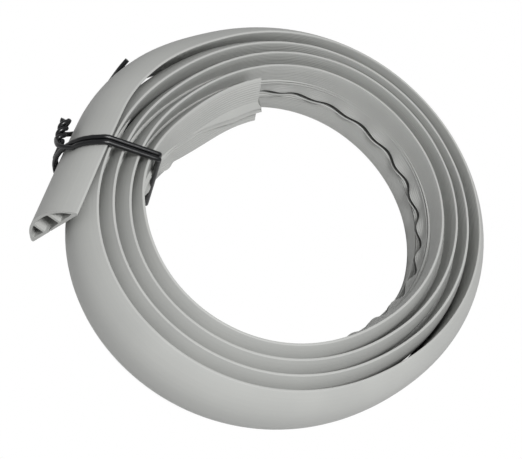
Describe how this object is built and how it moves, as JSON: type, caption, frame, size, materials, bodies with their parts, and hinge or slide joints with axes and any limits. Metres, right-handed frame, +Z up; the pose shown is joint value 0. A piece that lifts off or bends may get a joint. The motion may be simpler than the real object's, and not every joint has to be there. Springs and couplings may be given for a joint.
{
  "type": "coiled adhesive wiring duct",
  "caption": "Soft flat-backed wiring duct with a slit base and a low domed cover, wound into a roll on its edge and held by a twisted wire tie.",
  "frame": {"origin": "middle of the footprint of the roll, on the surface that the roll stands on", "axes": "+Z up along the coil's axis, -Y towards the side where the loose outer end points, -X towards the wire tie"},
  "size_m": [0.171, 0.1842, 0.0359],
  "materials": {
    "duct": "soft grey extruded plastic, satin",
    "wire_tie": "black plastic coating over wire, satin"
  },
  "bodies": {
    "root": {"duct": "duct", "wire_tie": "wire_tie"}
  },
  "joints": []
}
